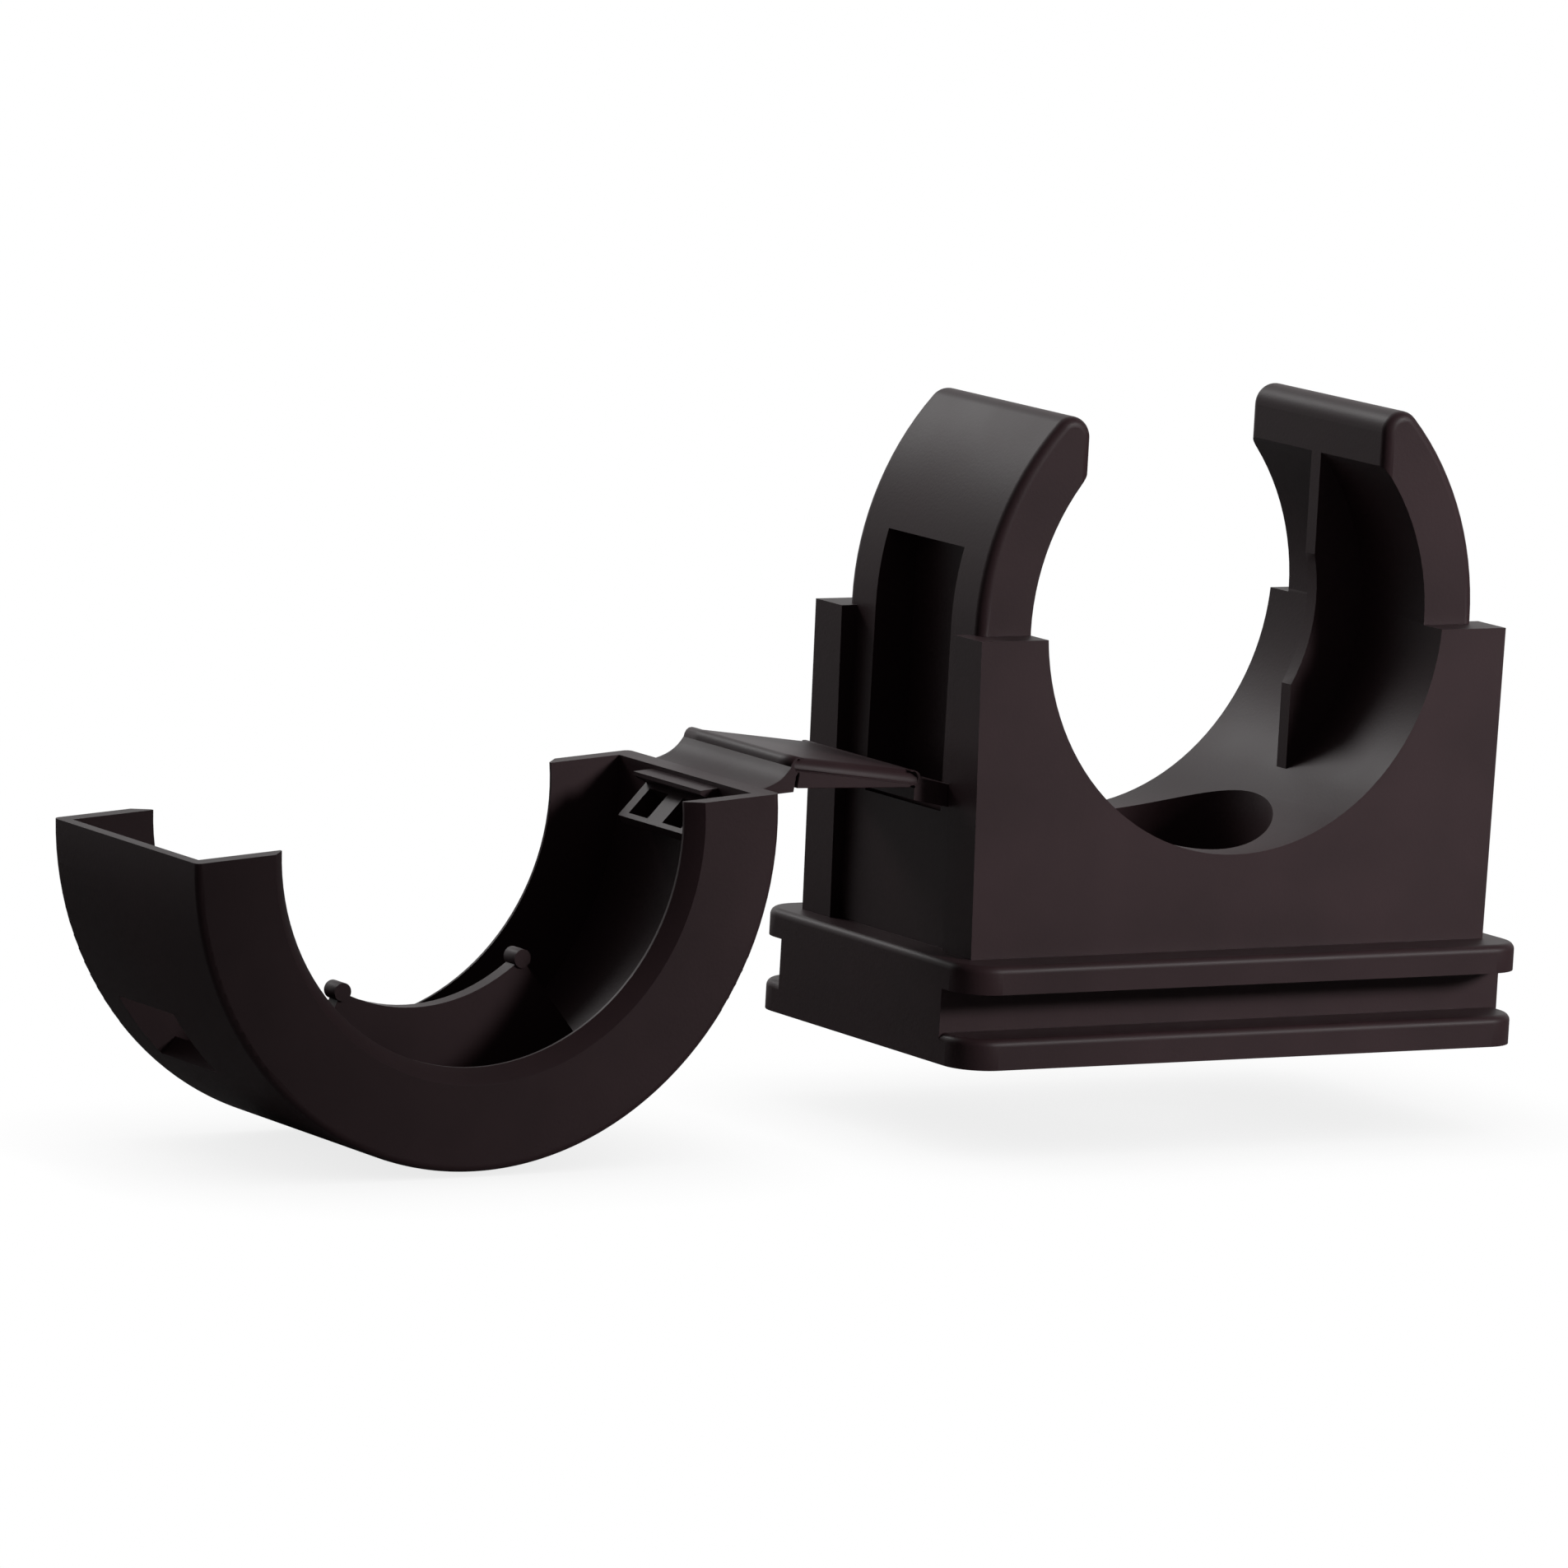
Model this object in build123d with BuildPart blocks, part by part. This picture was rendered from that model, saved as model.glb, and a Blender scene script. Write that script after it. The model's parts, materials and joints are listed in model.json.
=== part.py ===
from build123d import *
import os
from math import atan2, cos, degrees, radians, sin, sqrt

os.makedirs("parts", exist_ok=True)

# Hose seat: a level hose axis along Y at this height above the foot
bore_r = 14.1
axis_h = 26.0
rib_rise = 3.3
rib_t = 1.0
rib_end_x = 9.35

# Foot: two flanges with a rail groove between them on the front and the back
foot_w = 20.0
foot_d = 12.05
foot_corner = 2.3
foot_edge = 0.45
groove_depth = 3.05
flange_low = 1.85
groove_h = 2.65
flange_high = 1.7

# Core and arms: the arms bend round a lower centre than the seat, so they grip, and leave a mouth
arm_t = 3.6
arm_drop = 0.65
core_d = 7.3
mouth_half = 10.5
tip_round = 1.3
arm_edge = 0.6

# End walls: they stand proud of the core, with a little draft, up to a ledge below the hose axis
ledge_drop = 0.9
wall_proud = 1.05
wall_draft = 0.4
wall_t = 1.95
face_draft = 0.2
wall_bite = 1.0

# Slot for the locking tongue in the outer face of the left arm
slot_half = 4.2
slot_wall = 0.9
slot_up = 4.0
slot_below = 0.9

# Screw well and screw hole through the foot
well_r = 7.4
well_floor = 5.0
screw_r = 3.3

# Film hinges: round edges of the strap in open grooves
strap_half = 6.1
knuckle = 0.45
film_gap = 0.17
end_gap = 0.2
root_out = 3.35
root_drop = 9.4
hinge_out = 4.63
hinge_drop = 1.67
strap_open = 172.87
strap_root_t = 1.0
strap_ridge_t = 1.8
strap_edge = 0.8
shelf_t = 1.3
shelf_root_t = 2.2
shelf_fall = 0.9
shelf_gap = 0.15

# Lid: a half ring of channel section that closes over both arms
lid_clear = 0.2
lid_wall_clear = 0.4
lid_wall_t = 1.3
lid_side_t = 1.1
lid_side_in = 0.7
lid_bevel = 0.9
lid_edge = 0.4
lead_in = 0.6
lead_in_h = 2.2
lid_droop = 4.3
lid_rib_rise = 3.0
lid_rib_free = 30.0
lid_rib_hinge = 36.0
bead_r = 0.55

# Locking tongue inside the hinge end of the lid
tongue_clear = 0.4
tongue_gap = 0.75
tongue_lip = 1.1
tongue_lip_t = 0.25
tongue_run = 1.95
tongue_drop = 1.75
tongue_toe = 0.5
pocket_depth = 1.1
pocket_open = 0.3
tongue_rail = 1.65
tongue_level = 0.4
web_low = 0.15
web_dip = 1.07
web_run = 1.43
web_flat = 2.95

# Window in the lid's outer wall, as angles round the lid and as a span in Y
window_low = radians(209.6)
window_high = radians(223.3)
window_front = -0.9
window_back = 5.7

core_w = bore_r + arm_t
rib_r = bore_r - rib_rise
arm_z = axis_h - arm_drop
arm_in_r = sqrt(bore_r**2 - arm_drop**2)
ledge_h = axis_h - ledge_drop
groove_top = flange_low + groove_h
foot_top = groove_top + flange_high
slot_floor = bore_r + slot_wall

# The root line of the strap on the base, and the hinge line on the lid seen from the lid's centre
root_x = -(core_w + root_out)
root_z = axis_h - root_drop
hinge_p = core_w + hinge_out
hinge_q = hinge_drop
strap_len = sqrt((hinge_out - root_out) ** 2 + (root_drop - hinge_drop) ** 2)

# The open pose: strap nearly level, lid hanging mouth up beside the body
open_angle = radians(strap_open)
ridge_x = root_x + strap_len * cos(open_angle)
ridge_z = root_z + strap_len * sin(open_angle)
droop = radians(lid_droop)
lid_x = ridge_x - (hinge_p * cos(droop) - hinge_q * sin(droop))
lid_z = ridge_z - (hinge_p * sin(droop) + hinge_q * cos(droop))

lid_end = ledge_drop - lid_clear
lid_wall_r = core_w + lid_wall_clear
lid_r = lid_wall_r + lid_wall_t
lid_slot_half = core_d + lid_clear
lid_half = lid_slot_half + lid_side_t
tongue_half = slot_half - tongue_clear

front = Plane.XZ
strap_plane = Plane(
    origin=(root_x, 0, root_z),
    x_dir=(cos(open_angle), 0, sin(open_angle)),
    z_dir=(0, 1, 0),
)
strap_section = Plane(
    origin=(root_x, 0, root_z),
    x_dir=(0, 1, 0),
    z_dir=(cos(open_angle), 0, sin(open_angle)),
)
lid_plane = Plane(
    origin=(lid_x, 0, lid_z),
    x_dir=(cos(droop), 0, sin(droop)),
    z_dir=(0, -1, 0),
)


with BuildPart() as base:
    # Foot
    for level, top in ((0, flange_low), (groove_top, foot_top)):
        with BuildSketch(Plane.XY.offset(level)):
            RectangleRounded(2 * foot_w, 2 * foot_d, foot_corner)
        extrude(amount=top - level)
        rim = base.faces().filter_by(lambda f: abs(f.center().Z - top) < 0.01).edges()
        fillet(rim, radius=foot_edge)
    with BuildSketch(Plane.XY.offset(flange_low / 2)):
        Rectangle(2 * foot_w, 2 * (foot_d - groove_depth))
    extrude(amount=groove_h + (flange_low + flange_high) / 2)

    # Core and arms in one profile, with rounded arm tips
    tip_top = sqrt(core_w**2 - mouth_half**2)
    tip_low = sqrt(arm_in_r**2 - mouth_half**2)
    with BuildSketch(front) as profile:
        with Locations((0, arm_z)):
            Circle(core_w)
        with Locations((0, (arm_z + foot_top) / 2)):
            Rectangle(2 * core_w, arm_z - foot_top)
        with Locations((0, arm_z)):
            Circle(arm_in_r, mode=Mode.SUBTRACT)
        with Locations((0, arm_z + core_w / 2)):
            Rectangle(2 * mouth_half, 2 * core_w, mode=Mode.SUBTRACT)
        tips = profile.vertices().filter_by(lambda v: abs(v.Y - arm_z - tip_top) < 0.01)
        fillet(tips, radius=min(tip_round, 0.29 * (tip_top - tip_low)))
        with Locations((0, (arm_z + foot_top) / 2)):
            Rectangle(2 * core_w, arm_z - foot_top)
    extrude(amount=core_d, both=True)
    arcs = base.edges().filter_by(GeomType.CIRCLE).filter_by(lambda e: abs(e.radius - core_w) < 0.01)
    fillet(arcs, radius=arm_edge)

    # End walls
    wall_in = core_d - wall_bite
    wall_out = core_d + wall_t
    for side in (-1, 1):
        with BuildSketch(Plane.XY.offset(foot_top)):
            with Locations((0, side * (wall_in + wall_out + face_draft) / 2)):
                Rectangle(2 * (core_w + wall_proud - wall_draft), wall_out + face_draft - wall_in)
        with BuildSketch(Plane.XY.offset(ledge_h)):
            with Locations((0, side * (wall_in + wall_out) / 2)):
                Rectangle(2 * (core_w + wall_proud), wall_out - wall_in)
        loft()
    with BuildSketch(front):
        with Locations((0, axis_h)):
            Circle(bore_r)
        with Locations((0, arm_z - bore_r)):
            Rectangle(2 * core_w, 2 * bore_r, mode=Mode.INTERSECT)
    extrude(amount=foot_d, both=True, mode=Mode.SUBTRACT)

    # Ribs that drop into the hose's corrugation, from below the hose up to the arms
    for side in (-1, 1):
        for inner, low, high in ((rib_end_x, -bore_r, 0), (mouth_half, 0, tip_low - arm_drop)):
            with BuildSketch(front):
                with Locations((0, axis_h)):
                    Circle(bore_r + arm_t / 6)
                    Circle(rib_r, mode=Mode.SUBTRACT)
                with Locations((side * (inner + bore_r / 2), axis_h + (low + high) / 2)):
                    Rectangle(bore_r, high - low, mode=Mode.INTERSECT)
            extrude(amount=rib_t / 2, both=True)

    # Tongue slot in the left side
    with BuildSketch(Plane.XY.offset(root_z - slot_below)):
        with Locations((-(slot_floor + arm_t), 0)):
            Rectangle(2 * arm_t, 2 * slot_half)
    extrude(amount=root_drop + slot_up + slot_below, mode=Mode.SUBTRACT)

    # Root of the strap: a short shelf with the open groove of the film hinge
    seat = knuckle + film_gap
    seat_drop = sqrt(seat**2 - end_gap**2)
    shelf_in = -(slot_floor + core_w) / 2
    with BuildSketch(front):
        with BuildLine():
            Polyline(
                (root_x + end_gap, root_z - seat_drop),
                (root_x + end_gap, root_z - shelf_t),
                (shelf_in, root_z - shelf_root_t),
                (shelf_in, root_z - shelf_fall),
                (root_x + seat, root_z),
            )
            ThreePointArc(
                (root_x + seat, root_z),
                (root_x + seat * cos(radians(-36)), root_z + seat * sin(radians(-36))),
                (root_x + end_gap, root_z - seat_drop),
            )
        make_face()
    extrude(amount=strap_half, both=True)
    with BuildSketch(Plane.XY.offset(root_z - shelf_root_t - shelf_gap)):
        with Locations((-(slot_floor + core_w + shelf_gap) / 2, 0)):
            Rectangle(core_w + shelf_gap - slot_floor, 2 * slot_half)
    extrude(amount=shelf_root_t + 2 * shelf_gap, mode=Mode.SUBTRACT)

    # Screw well and screw hole
    with BuildSketch(Plane.XY.offset(well_floor)):
        Circle(well_r)
    extrude(amount=axis_h - well_floor, mode=Mode.SUBTRACT)
    with BuildSketch():
        Circle(screw_r)
    extrude(amount=well_floor, mode=Mode.SUBTRACT)

    base.part.label = "base"


with BuildPart() as strap:
    with BuildSketch(strap_plane):
        with BuildLine():
            Line((0, knuckle), (strap_len, knuckle))
            ThreePointArc((strap_len, knuckle), (strap_len + knuckle, 0), (strap_len, -knuckle))
            Polyline(
                (strap_len, -knuckle),
                (strap_len, knuckle - strap_ridge_t),
                (0, knuckle - strap_root_t),
                (0, -knuckle),
            )
            ThreePointArc((0, -knuckle), (-knuckle, 0), (0, knuckle))
        make_face()
    extrude(amount=strap_half, both=True)

    # Rounded long edges on the upper face
    with BuildSketch(strap_section.offset(-2 * knuckle)):
        with Locations((0, strap_half - knuckle)):
            RectangleRounded(2 * strap_half, 2 * strap_half, strap_edge)
    extrude(amount=strap_len + 4 * knuckle, mode=Mode.INTERSECT)
    strap.part.label = "strap"


with BuildPart() as lid:
    # Half ring with a channel cut into it from inside
    with BuildSketch(lid_plane):
        Circle(lid_r)
        Circle(bore_r - lid_side_in, mode=Mode.SUBTRACT)
        with Locations((0, lid_end + lid_r)):
            Rectangle(3 * lid_r, 2 * lid_r, mode=Mode.SUBTRACT)
    extrude(amount=lid_half, both=True)
    rims = lid.edges().filter_by(GeomType.CIRCLE).filter_by(lambda e: abs(e.radius - lid_r) < 0.01)
    fillet(rims, radius=lid_edge)
    with BuildSketch(lid_plane):
        Circle(lid_wall_r)
    extrude(amount=lid_slot_half, both=True, mode=Mode.SUBTRACT)
    inner = lid.edges().filter_by(GeomType.CIRCLE).filter_by(
        lambda e: abs(e.radius - bore_r + lid_side_in) < 0.01 and abs(e.center().Y) > lid_half - 0.01
    )
    chamfer(inner, length=lid_bevel)

    # Lead-in at the free end, which passes close over the right arm
    with BuildSketch(lid_plane):
        with BuildLine():
            Polyline(
                (-lid_wall_r + lead_in / 2, lid_end + lead_in),
                (-lid_wall_r - lead_in, lid_end + lead_in),
                (-lid_wall_r - lead_in, lid_end),
                (-lid_wall_r + lead_in / 6, lid_end - lead_in_h),
                close=True,
            )
        make_face()
    extrude(amount=lid_slot_half, both=True, mode=Mode.SUBTRACT)

    # Crown rib that drops into the hose's corrugation, with a bead at each end
    crest_r = bore_r - lid_rib_rise
    reach = 3 * lid_r
    free = radians(-90 - lid_rib_free)
    hinge = radians(-90 + lid_rib_hinge)
    with BuildSketch(lid_plane):
        Circle(lid_wall_r + lid_wall_t / 4)
        Circle(crest_r, mode=Mode.SUBTRACT)
        with BuildLine():
            Polyline(
                (0, 0),
                (reach * cos(free), reach * sin(free)),
                (reach * cos(hinge), reach * sin(hinge)),
                close=True,
            )
        make_face(mode=Mode.INTERSECT)
    extrude(amount=rib_t / 2, both=True)
    with BuildSketch(lid_plane):
        with Locations(*((crest_r * cos(a), crest_r * sin(a)) for a in (free, hinge))):
            Circle(bead_r)
    extrude(amount=rib_t / 2 + bead_r / 4, both=True)

    # Locking tongue and the web that carries the hinge groove
    lean = radians(strap_open - lid_droop)
    face_dir = (sin(lean), -cos(lean))
    face_x = hinge_p + end_gap * cos(lean)
    face_y = hinge_q + end_gap * sin(lean)
    fall = (face_y - web_low) / abs(face_dir[1])
    seat_run = sqrt(seat**2 - end_gap**2)
    seat_end = (face_x - face_dir[0] * seat_run, face_y - abs(face_dir[1]) * seat_run)
    web_corner = (face_x - face_dir[0] * fall, web_low)
    tip_x = slot_floor + tongue_gap
    lip_x = tip_x + tongue_lip
    neck_x = tip_x + tongue_run
    lip_y = tongue_level - tongue_lip_t
    neck_y = lip_y - 2 * tongue_lip_t
    tip_y = neck_y - tongue_drop
    with BuildSketch(lid_plane):
        with BuildLine():
            Bezier(
                (hinge_p - seat, hinge_q),
                (hinge_p - web_run, hinge_q - web_dip),
                (lip_x + web_flat, tongue_level),
                (lip_x, tongue_level),
            )
            Polyline(
                (lip_x, tongue_level),
                (lip_x, lip_y),
                (neck_x, neck_y),
                (tip_x, tip_y),
                (tip_x + tongue_toe / 2, tip_y - tongue_toe),
                (lid_wall_r + lid_wall_t / 4, tip_y - 2 * tongue_toe),
                (lid_r - lid_wall_t / 4, tip_y - 2 * tongue_toe),
                (lid_r - lid_wall_t / 30, web_low),
                web_corner,
                seat_end,
            )
            mid = radians(208)
            ThreePointArc(
                seat_end,
                (hinge_p + seat * cos(mid), hinge_q + seat * sin(mid)),
                (hinge_p - seat, hinge_q),
            )
        make_face()
    extrude(amount=strap_half, both=True)
    for side in (-1, 1):
        with BuildSketch(lid_plane.offset(side * (tongue_half + lid_slot_half) / 2)):
            Circle(lid_wall_r)
        extrude(amount=(lid_slot_half - tongue_half) / 2, both=True, mode=Mode.SUBTRACT)

    # Two pockets between three rails on the tongue's sloping face
    face_len = sqrt(tongue_run**2 + tongue_drop**2)
    slope = degrees(atan2(tongue_drop, tongue_run))
    for side in (-1, 1):
        with BuildSketch(lid_plane.offset(side * tongue_half / 2)):
            with Locations(Location(((neck_x + tip_x) / 2, (neck_y + tip_y) / 2), slope)):
                with Locations((0, (pocket_open - pocket_depth) / 2)):
                    Rectangle(0.75 * face_len, pocket_depth + pocket_open)
        extrude(amount=(tongue_half - tongue_rail) / 2, both=True, mode=Mode.SUBTRACT)

    # Window in the outer wall near the free end
    near = lid_wall_r - lid_wall_t
    far = lid_r + lid_wall_t
    with BuildSketch(lid_plane.offset(-window_back)):
        with BuildLine():
            Polyline(
                (near * cos(window_low), near * sin(window_low)),
                (far * cos(window_low), far * sin(window_low)),
                (far * cos(window_high), far * sin(window_high)),
                (near * cos(window_high), near * sin(window_high)),
                close=True,
            )
        make_face()
    extrude(amount=window_back - window_front, mode=Mode.SUBTRACT)

    lid.part.label = "lid"

export_step(base.part, "parts/base.step")
export_step(strap.part, "parts/strap.step")
export_step(lid.part, "parts/lid.step")
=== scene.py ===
import json
import math

import bpy
from mathutils import Matrix, Vector


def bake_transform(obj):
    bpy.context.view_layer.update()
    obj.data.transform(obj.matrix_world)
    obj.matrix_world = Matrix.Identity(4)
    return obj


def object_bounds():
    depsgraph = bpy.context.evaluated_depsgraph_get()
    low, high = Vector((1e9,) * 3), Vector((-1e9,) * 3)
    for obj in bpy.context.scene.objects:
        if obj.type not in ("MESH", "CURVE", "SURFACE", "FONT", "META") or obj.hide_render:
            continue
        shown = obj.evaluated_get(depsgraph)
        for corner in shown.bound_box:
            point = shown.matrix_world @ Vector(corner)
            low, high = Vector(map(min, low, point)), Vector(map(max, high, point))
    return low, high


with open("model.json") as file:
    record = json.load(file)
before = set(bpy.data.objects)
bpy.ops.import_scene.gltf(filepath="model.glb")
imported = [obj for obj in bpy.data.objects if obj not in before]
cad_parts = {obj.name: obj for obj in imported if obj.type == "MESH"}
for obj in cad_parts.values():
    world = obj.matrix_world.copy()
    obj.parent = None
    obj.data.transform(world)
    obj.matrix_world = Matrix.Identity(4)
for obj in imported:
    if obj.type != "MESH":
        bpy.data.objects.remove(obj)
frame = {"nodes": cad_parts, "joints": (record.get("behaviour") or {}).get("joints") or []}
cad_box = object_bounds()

scene = bpy.context.scene
scene.view_settings.view_transform = "Standard"
MM = 0.001
WHITE = (1.0, 1.0, 1.0, 1.0)

# Plastic
WARM_BLACK = (0.0400, 0.0205, 0.0235)
COLOUR_SPREAD = 0.15
CLOUD_SCALE = 140.0
CLOUD_DETAIL = 4.0
CLOUD_LOW = 0.3
CLOUD_HIGH = 0.72
REFRACTION = 1.5
REFLECTION = 0.25
ROUGH_LOW = 0.45
ROUGH_HIGH = 0.56
GRAIN_SCALE = 5200.0
GRAIN_DETAIL = 3.0
GRAIN_STRENGTH = 0.15
GRAIN_DEPTH = 0.04 * MM
PATTERN_SHIFT = Vector((0.013, 0.0091, 0.0039))

# Rounds on sharp edges, with limits in degrees
EDGE_ROUND = 0.22 * MM
EDGE_SEGMENTS = 3
EDGE_LIMIT = 32
FLAT_LIMIT = 0.4
WELD_GAP = 0.002 * MM

# Films, in millimetres. The fill reaches from just inside the strap's edge to just inside the groove's wall
FILM_HALF = 6.09
FILM_SKIN = 0.05
FILM_ROWS = 9
FILL_IN = 0.44
FILL_OUT = 0.63

# Floor, and the white sweep that begins behind the object
FLOOR_GAP = 0.3 * MM
FLOOR_HALF = 1.5
FLOOR_GREY = 0.45
SHADOW_REACH = 12 * MM
SHADOW_LEVEL = 0.8
SHADOW_SAMPLES = 4
SWEEP_START = 60 * MM
SWEEP_FULL = 400 * MM
SWEEP_SIDE = (0.25, 0.92, 0.3)
SWEEP_EDGE = 0.35
SWEEP_CORE = 0.95

# Room light
ROOM_GREY = 0.8
ROOM_STRENGTH = 0.09

# Camera at the photograph's angle, in degrees, millimetres and the photograph's pixels, clipped in metres
AZIMUTH = -32.13
ELEVATION = 8.256
ROLL = 3.213
TARGET = (-26.157, -0.129, 15.497)
DISTANCE = 736.7
FOCAL_PIXELS = 15157.799
PHOTO_PIXELS = 1905
SENSOR = 36.0
CLIP_NEAR = 0.05
CLIP_FAR = 20.0


# Node helpers
def clear_tree(owner):
    """The emptied node tree of a material or a world."""
    owner.use_nodes = True
    owner.node_tree.nodes.clear()
    return owner.node_tree


def add(tree, kind, **values):
    """A shader node with these input values. An underscore in a name stands for a blank."""
    node = tree.nodes.new("ShaderNode" + kind)
    for name, value in values.items():
        node.inputs[name.replace("_", " ")].default_value = value
    return node


def maths(tree, operation, first, second):
    """The result of a math node on two sockets."""
    node = add(tree, "Math")
    node.operation = operation
    tree.links.new(first, node.inputs[0])
    tree.links.new(second, node.inputs[1])
    return node.outputs["Value"]


def smooth_step(tree, value, low, high):
    """A smooth rise from 0 at low to 1 at high."""
    node = add(tree, "MapRange", From_Min=low, From_Max=high)
    node.interpolation_type = "SMOOTHSTEP"
    tree.links.new(value, node.inputs["Value"])
    return node.outputs["Result"]


# Plastic
def plastic(name, shift):
    """Satin black moulded plastic with fine spark-eroded grain and faint clouds in colour and gloss."""
    mat = bpy.data.materials.new(name)
    tree = clear_tree(mat)
    link = tree.links.new
    skin = add(tree, "BsdfPrincipled", IOR=REFRACTION, Specular_IOR_Level=REFLECTION)
    link(skin.outputs["BSDF"], add(tree, "OutputMaterial").inputs["Surface"])
    place = add(tree, "Mapping", Location=shift)
    link(add(tree, "TexCoord").outputs["Object"], place.inputs["Vector"])

    # Cloudy colour variation
    cloud = add(tree, "TexNoise", Scale=CLOUD_SCALE, Detail=CLOUD_DETAIL)
    link(place.outputs["Vector"], cloud.inputs["Vector"])
    tint = add(tree, "ValToRGB")
    dark, light = tint.color_ramp.elements
    dark.position = CLOUD_LOW
    light.position = CLOUD_HIGH
    dark.color = [c * (1 - COLOUR_SPREAD) for c in WARM_BLACK] + [1.0]
    light.color = [c * (1 + COLOUR_SPREAD) for c in WARM_BLACK] + [1.0]
    link(cloud.outputs["Fac"], tint.inputs["Fac"])
    link(tint.outputs["Color"], skin.inputs["Base Color"])

    # Gloss variation
    gloss = add(tree, "MapRange", To_Min=ROUGH_LOW, To_Max=ROUGH_HIGH)
    link(cloud.outputs["Fac"], gloss.inputs["Value"])
    link(gloss.outputs["Result"], skin.inputs["Roughness"])

    # Fine grain
    grain = add(tree, "TexNoise", Scale=GRAIN_SCALE, Detail=GRAIN_DETAIL)
    link(place.outputs["Vector"], grain.inputs["Vector"])
    bump = add(tree, "Bump", Strength=GRAIN_STRENGTH, Distance=GRAIN_DEPTH)
    link(grain.outputs["Fac"], bump.inputs["Height"])
    link(bump.outputs["Normal"], skin.inputs["Normal"])
    return mat


def soften(obj):
    """Small moulded rounds on the sharp edges of a piece, with even shading on its large faces."""
    weld = obj.modifiers.new("weld", "WELD")
    weld.merge_threshold = WELD_GAP
    flat = obj.modifiers.new("flat_faces", "DECIMATE")
    flat.decimate_type = "DISSOLVE"
    flat.angle_limit = math.radians(FLAT_LIMIT)
    soft = obj.modifiers.new("soft_edges", "BEVEL")
    soft.width = EDGE_ROUND
    soft.segments = EDGE_SEGMENTS
    soft.limit_method = "ANGLE"
    soft.angle_limit = math.radians(EDGE_LIMIT)
    soft.use_clamp_overlap = True
    shade = obj.modifiers.new("even_shading", "WEIGHTED_NORMAL")
    shade.mode = "FACE_AREA"
    shade.keep_sharp = True


finish = {}
for number, name in enumerate(("base", "strap", "lid"), start=1):
    node = frame["nodes"][name]
    finish[name] = plastic("plastic_" + name, PATTERN_SHIFT * number)
    node.data.materials.clear()
    node.data.materials.append(finish[name])
    soften(node)


# Film hinges
def film(name, hinge, profile):
    """A film along Y over a hinge line. The profile lists degrees and outer radii round that line."""
    rim = [(math.radians(angle), outer) for angle, outer in profile]
    rim += [(angle, min(outer - FILM_SKIN, FILL_IN)) for angle, outer in reversed(rim)]
    ring = [(hinge.x + r * MM * math.cos(a), hinge.z + r * MM * math.sin(a)) for a, r in rim]
    count = len(ring)
    verts = []
    for row in range(FILM_ROWS):
        y = FILM_HALF * MM * (2 * row / (FILM_ROWS - 1) - 1)
        verts += [(x, y, z) for x, z in ring]
    faces = [
        (low + j, low + (j + 1) % count, low + count + (j + 1) % count, low + count + j)
        for low in range(0, (FILM_ROWS - 1) * count, count)
        for j in range(count)
    ]
    faces += [tuple(reversed(range(count))), tuple(range(len(verts) - count, len(verts)))]
    mesh = bpy.data.meshes.new(name)
    mesh.from_pydata(verts, [], faces)
    mesh.update()
    for poly in mesh.polygons:
        poly.use_smooth = len(poly.vertices) == 4
    mesh.materials.append(finish["strap"])
    obj = bpy.data.objects.new(name, mesh)
    scene.collection.objects.link(obj)
    return obj


hinges = {joint["name"]: Vector(joint["pos_m"]) for joint in frame["joints"]}

# From the strap's upper face, over the gap, down into the groove of the base
root = hinges["strap_fold"]
root_skin = [(104, 0.45), (92, 0.465), (72, 0.49), (50, 0.53), (28, 0.58), (8, 0.64)]
root_lap = [(-4, 0.70)]
root_fill = [(angle, FILL_OUT) for angle in (-14, -30, -46, -62)]
root_film = film("film_root", root, root_skin + root_lap + root_fill)
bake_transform(root_film)

# From the strap's ridge, over the gap, down into the groove of the lid
ridge = hinges["lid_fold"]
ridge_skin = [(62, 0.465), (82, 0.465), (102, 0.50), (124, 0.55), (146, 0.58), (166, 0.60), (184, 0.635)]
ridge_lap = [(196, 0.66)]
ridge_fill = [(angle, FILL_OUT) for angle in (208, 222, 236, 248)]
ridge_film = film("film_ridge", ridge, ridge_skin + ridge_lap + ridge_fill)
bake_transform(ridge_film)


# White background
def white_share(tree, sweep):
    """1 for what the camera sees, and the sweep's share for what the object reflects or lets through."""
    path = add(tree, "LightPath").outputs
    mirrored = maths(tree, "MAXIMUM", path["Is Glossy Ray"], path["Is Transmission Ray"])
    return maths(tree, "MAXIMUM", path["Is Camera Ray"], maths(tree, "MULTIPLY", mirrored, sweep))


def mix_white(tree, plain, white, sweep, out):
    """The plain shader, with white where the white background is seen."""
    mix = add(tree, "MixShader")
    tree.links.new(white_share(tree, sweep), mix.inputs["Fac"])
    tree.links.new(plain, mix.inputs[1])
    tree.links.new(white, mix.inputs[2])
    tree.links.new(mix.outputs["Shader"], out.inputs["Surface"])


def floor_material():
    """Pale floor, with a faint shadow where the object stands close over it."""
    mat = bpy.data.materials.new("floor")
    tree = clear_tree(mat)
    plain = add(tree, "BsdfDiffuse", Color=(FLOOR_GREY, FLOOR_GREY, FLOOR_GREY, 1.0))
    near = add(tree, "AmbientOcclusion", Distance=SHADOW_REACH)
    near.samples = SHADOW_SAMPLES
    shade = add(tree, "MapRange", To_Min=SHADOW_LEVEL, To_Max=1.0)
    tree.links.new(near.outputs["AO"], shade.inputs["Value"])
    white = add(tree, "Emission", Color=WHITE)
    tree.links.new(shade.outputs["Result"], white.inputs["Strength"])
    place = add(tree, "SeparateXYZ")
    tree.links.new(add(tree, "NewGeometry").outputs["Position"], place.inputs["Vector"])
    sweep = smooth_step(tree, place.outputs["Y"], SWEEP_START, SWEEP_FULL)
    out = add(tree, "OutputMaterial")
    mix_white(tree, plain.outputs["BSDF"], white.outputs["Emission"], sweep, out)
    return mat


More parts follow.
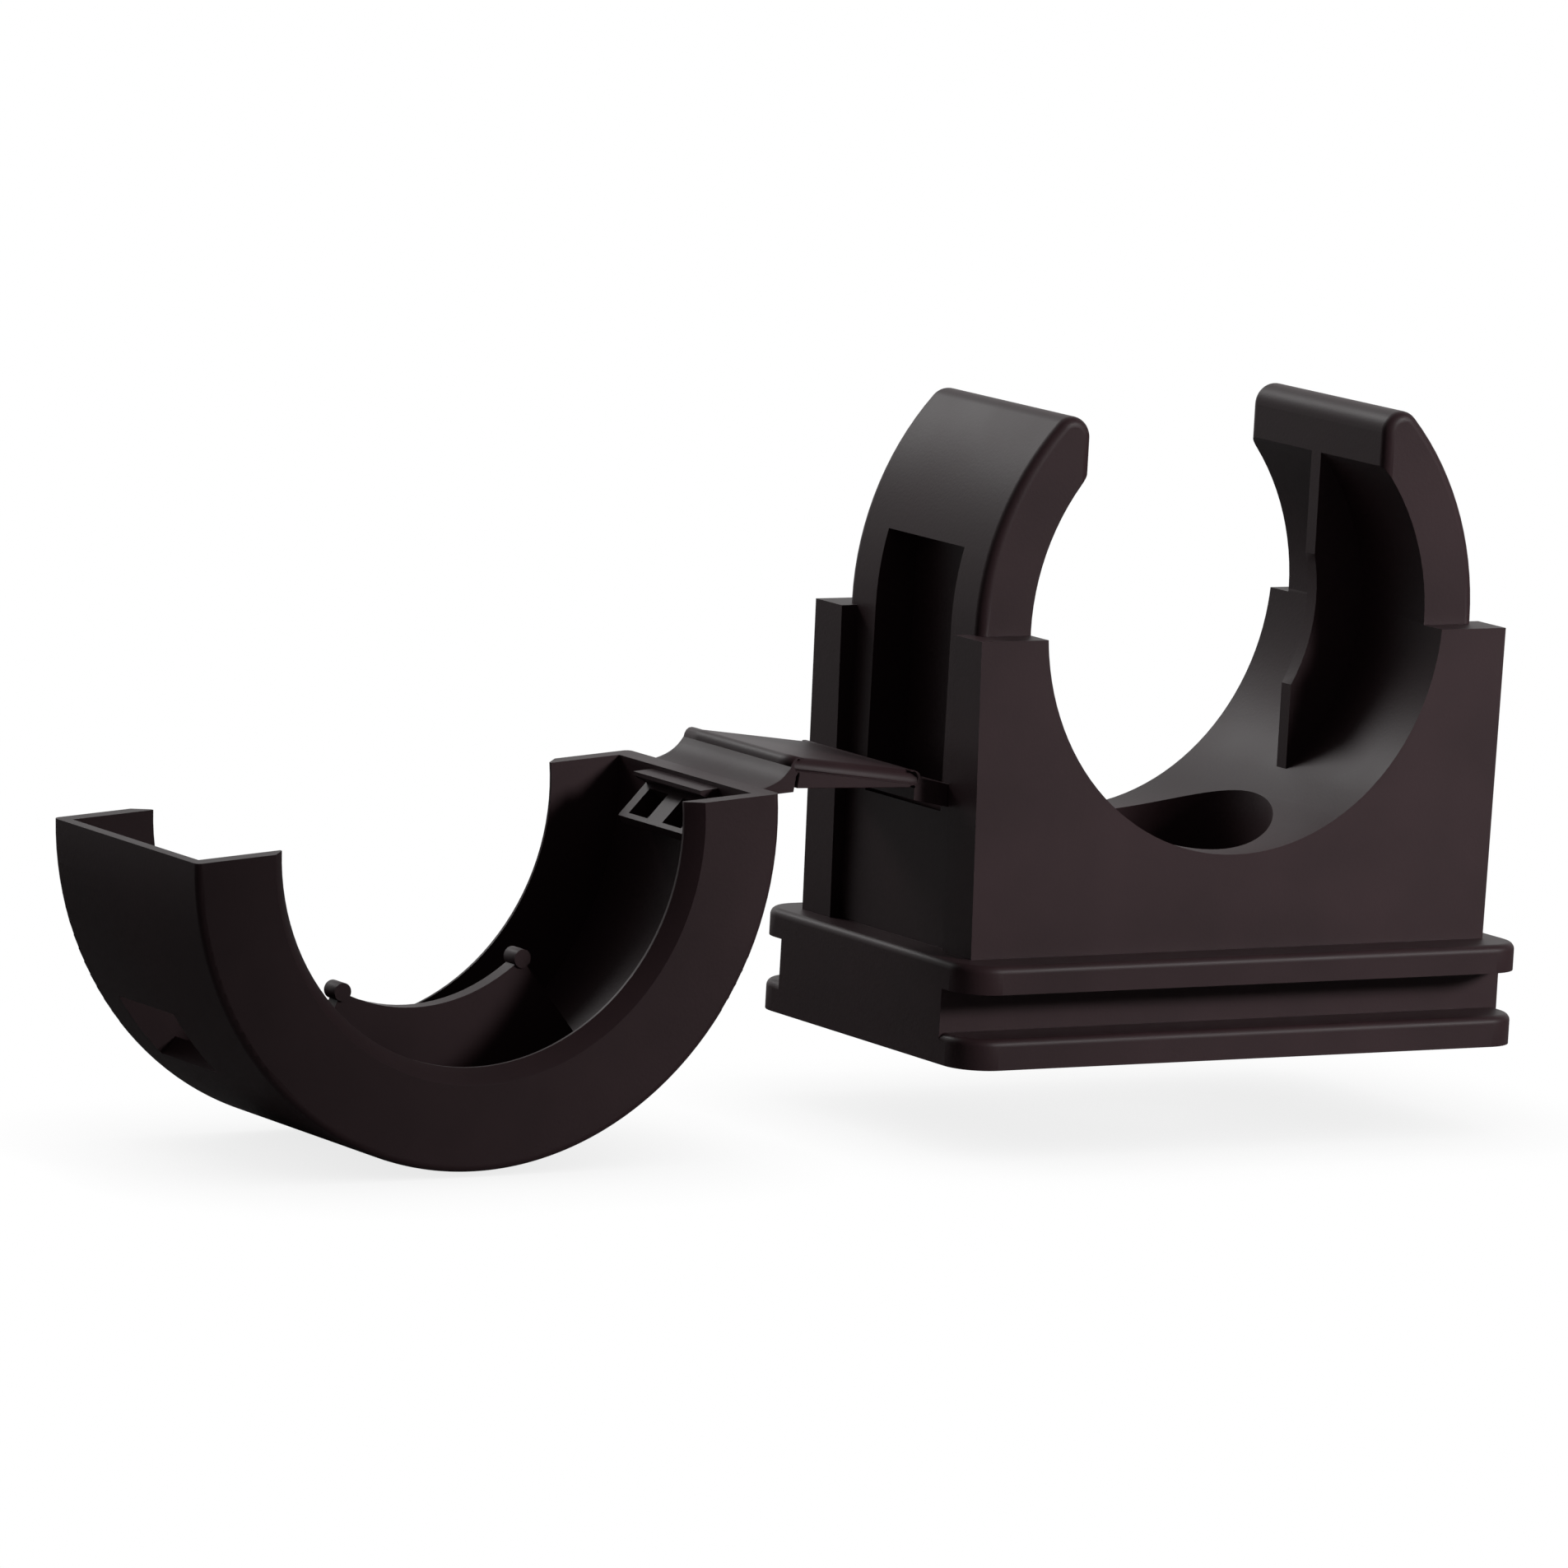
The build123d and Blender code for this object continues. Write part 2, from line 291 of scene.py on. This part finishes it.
def floor():
    """A wide level sheet just under the object."""
    z = cad_box[0][2] - FLOOR_GAP
    corners = [(x * FLOOR_HALF, y * FLOOR_HALF, z) for x, y in ((-1, -1), (1, -1), (1, 1), (-1, 1))]
    mesh = bpy.data.meshes.new("floor")
    mesh.from_pydata(corners, [], [(0, 1, 2, 3)])
    mesh.materials.append(floor_material())
    obj = bpy.data.objects.new("floor", mesh)
    scene.collection.objects.link(obj)


def studio():
    """Soft grey room light, with the white sweep behind the object."""
    scene.world = bpy.data.worlds.new("studio")
    tree = clear_tree(scene.world)
    room = add(tree, "Background", Color=(ROOM_GREY, ROOM_GREY, ROOM_GREY, 1.0), Strength=ROOM_STRENGTH)
    white = add(tree, "Background", Color=WHITE, Strength=1.0)
    facing = add(tree, "VectorMath")
    facing.operation = "DOT_PRODUCT"
    facing.inputs[1].default_value = SWEEP_SIDE
    tree.links.new(add(tree, "TexCoord").outputs["Generated"], facing.inputs[0])
    sweep = smooth_step(tree, facing.outputs["Value"], SWEEP_EDGE, SWEEP_CORE)
    out = add(tree, "OutputWorld")
    mix_white(tree, room.outputs["Background"], white.outputs["Background"], sweep, out)


floor()
studio()


# Lights
def spot(name, place, aim, radius, angle, watts):
    """A soft-edged spot at place, turned towards aim. Lengths are in millimetres, its cone in degrees."""
    lamp = bpy.data.lights.new(name, "SPOT")
    lamp.shadow_soft_size = radius * MM
    lamp.spot_size = math.radians(angle)
    lamp.spot_blend = 1.0
    lamp.energy = watts
    obj = bpy.data.objects.new(name, lamp)
    scene.collection.objects.link(obj)
    obj.location = Vector(place) * MM
    obj.rotation_euler = (Vector(aim) - Vector(place)).to_track_quat("-Z", "Y").to_euler()


spot("key", place=(180, -280, 160), aim=(20, -8, 30), radius=60, angle=18, watts=9.0)
spot("rim", place=(-110, 290, 250), aim=(-6, 0, 26), radius=70, angle=26, watts=2.5)


# Camera
def photo_camera():
    """A long lens at the photograph's angle, with its slight roll."""
    azimuth = math.radians(AZIMUTH)
    elevation = math.radians(ELEVATION)
    roll = math.radians(ROLL)
    back = Vector((
        math.sin(azimuth) * math.cos(elevation),
        -math.cos(azimuth) * math.cos(elevation),
        math.sin(elevation),
    ))
    right = (-back).cross(Vector((0, 0, 1))).normalized()
    up = right.cross(-back)
    side = math.cos(roll) * right + math.sin(roll) * up
    top = -math.sin(roll) * right + math.cos(roll) * up
    lens = bpy.data.cameras.new("camera")
    lens.sensor_fit = "HORIZONTAL"
    lens.sensor_width = SENSOR
    lens.lens = FOCAL_PIXELS / PHOTO_PIXELS * SENSOR
    lens.clip_start = CLIP_NEAR
    lens.clip_end = CLIP_FAR
    camera = bpy.data.objects.new("camera", lens)
    scene.collection.objects.link(camera)
    turn = Matrix((side, top, back)).transposed().to_4x4()
    camera.matrix_world = Matrix.Translation((Vector(TARGET) + back * DISTANCE) * MM) @ turn
    return camera


scene.camera = photo_camera()
